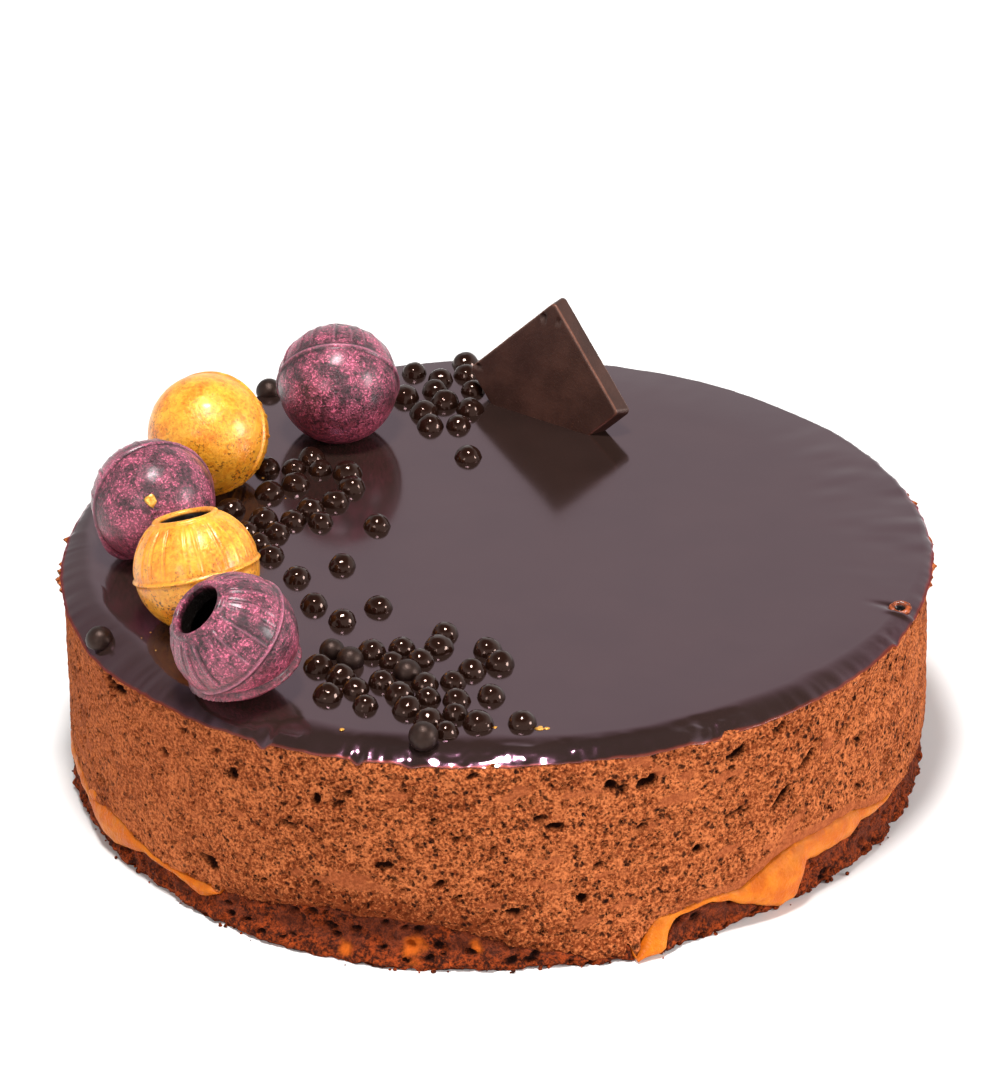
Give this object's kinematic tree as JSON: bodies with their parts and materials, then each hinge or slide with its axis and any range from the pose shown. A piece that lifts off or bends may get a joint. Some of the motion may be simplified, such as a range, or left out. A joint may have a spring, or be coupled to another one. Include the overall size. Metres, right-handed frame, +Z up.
{
  "type": "chocolate truffle cake",
  "caption": "Round chocolate mousse cake with a mirror glaze, oozing caramel layer and sponge base, topped with hollow truffle shells, crisp pearls and a chocolate tile.",
  "frame": {"origin": "middle of the cake's flat underside", "axes": "+Z up through the layers, -Y towards the side that the picture shows, +X to the right in it"},
  "size_m": [0.18, 0.18, 0.0728],
  "materials": {
    "sponge": "crumbly dark cocoa sponge, matte",
    "caramel": "smooth soft caramel, satin",
    "mousse": "porous milk chocolate mousse, matte",
    "glaze": "poured dark chocolate mirror glaze, high gloss",
    "dark_chocolate": "moulded dark chocolate, satin",
    "purple_lustre": "chocolate shell sprayed with mottled purple lustre, satin gloss",
    "gold_lustre": "chocolate shell sprayed with golden lustre, satin gloss"
  },
  "bodies": {
    "root": {"sponge_base": "sponge", "caramel_layer": "caramel", "mousse_body": "mousse", "mirror_glaze": "glaze", "chocolate_tile": "dark_chocolate", "truffle_purple_back": "purple_lustre", "truffle_gold_back": "gold_lustre", "truffle_purple_left": "purple_lustre", "truffle_gold_front": "gold_lustre", "truffle_purple_front": "purple_lustre"}
  },
  "joints": []
}
